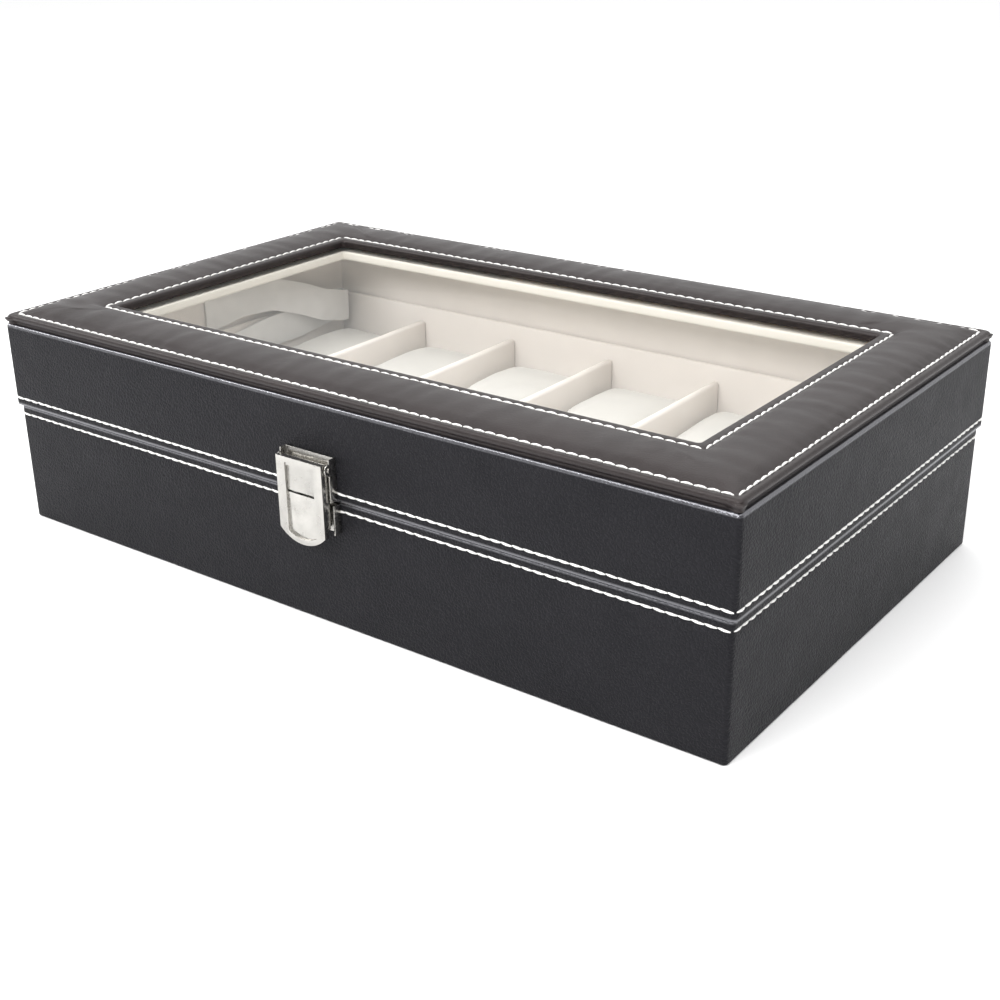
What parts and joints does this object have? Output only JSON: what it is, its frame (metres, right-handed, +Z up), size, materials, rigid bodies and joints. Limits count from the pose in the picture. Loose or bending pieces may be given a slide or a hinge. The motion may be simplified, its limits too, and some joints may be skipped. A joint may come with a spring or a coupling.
{
  "type": "watch box",
  "caption": "Leather-covered watch box with a hinged, glazed and padded lid, a front drop latch, a ribbon stay, and cream cushions between lined dividers.",
  "frame": {"origin": "centre of the underside, where the box rests", "axes": "+X along the width to the right seen from the front, -Y out of the front with the latch, +Z up"},
  "size_m": [0.3, 0.1902, 0.0822],
  "materials": {
    "wall_leather": "satin, fine pebble grain",
    "frame_leather": "soft satin over padding",
    "fibreboard": "raw",
    "cream_lining": "short-napped, matt",
    "cushion_cloth": "short-napped, matt",
    "bottom_felt": "matt",
    "foam": "matt",
    "glass": "polished",
    "nickel": "bright",
    "ribbon_and_thread": "satin"
  },
  "bodies": {
    "base": {"bottom_cover": "bottom_felt", "bottom_board": "fibreboard", "base_front_board": "fibreboard", "base_back_board": "fibreboard", "base_left_board": "fibreboard", "base_right_board": "fibreboard", "base_leather": "wall_leather", "front_liner": "cream_lining", "back_liner": "cream_lining", "left_liner": "cream_lining", "right_liner": "cream_lining", "floor_lining": "cream_lining", "long_divider": "cream_lining", "cross_divider_1": "cream_lining", "cross_divider_2": "cream_lining", "cross_divider_3": "cream_lining", "cross_divider_4": "cream_lining", "cross_divider_5": "cream_lining", "front_pillow_1": "cushion_cloth", "front_pillow_2": "cushion_cloth", "front_pillow_3": "cushion_cloth", "front_pillow_4": "cushion_cloth", "front_pillow_5": "cushion_cloth", "front_pillow_6": "cushion_cloth", "back_pillow_1": "cushion_cloth", "back_pillow_2": "cushion_cloth", "back_pillow_3": "cushion_cloth", "back_pillow_4": "cushion_cloth", "back_pillow_5": "cushion_cloth", "back_pillow_6": "cushion_cloth", "keeper_plate": "nickel", "keeper_rivets": "nickel", "left_hinge_base_leaf": "nickel", "right_hinge_base_leaf": "nickel", "hinge_pins": "nickel", "hinge_base_screws": "nickel", "base_ribbon_tack": "ribbon_and_thread"},
    "lid": {"lid_front_board": "fibreboard", "lid_back_board": "fibreboard", "lid_left_board": "fibreboard", "lid_right_board": "fibreboard", "lid_leather": "wall_leather", "lid_lining": "cream_lining", "frame_board": "fibreboard", "frame_foam": "foam", "frame_leather": "frame_leather", "glass_pane": "glass", "glass_retainer": "cream_lining", "left_hinge_lid_leaf": "nickel", "right_hinge_lid_leaf": "nickel", "hinge_lid_screws": "nickel", "latch_plate": "nickel", "latch_pin": "nickel", "latch_rivets": "nickel", "lid_ribbon_tack": "ribbon_and_thread"},
    "latch_lever": {"latch_lever": "nickel"},
    "ribbon_lower": {"ribbon_lower": "ribbon_and_thread"},
    "ribbon_upper": {"ribbon_upper": "ribbon_and_thread"}
  },
  "joints": [
    {"name": "lid_hinge", "type": "hinge", "parent": "base", "child": "lid", "pos_m": [0, 0.0923, 0.04515], "axis": [-1, 0, 0], "range_deg": [0, 95]},
    {"name": "latch_pivot", "type": "hinge", "parent": "lid", "child": "latch_lever", "pos_m": [0, -0.0932, 0.0571], "axis": [-1, 0, 0], "range_deg": [0, 95]},
    {"name": "ribbon_base_pivot", "type": "hinge", "parent": "base", "child": "ribbon_lower", "pos_m": [-0.14215, 0.006, 0.037], "axis": [1, 0, 0], "range_deg": [0, 15]},
    {"name": "ribbon_lid_pivot", "type": "hinge", "parent": "lid", "child": "ribbon_upper", "pos_m": [-0.13775, 0.006, 0.057], "axis": [-1, 0, 0], "range_deg": [0, 17]}
  ],
  "couplings": [
    {"joint": "ribbon_base_pivot", "follows": "lid_hinge", "ratio": 0.1496},
    {"joint": "ribbon_lid_pivot", "follows": "lid_hinge", "ratio": 0.1729}
  ]
}
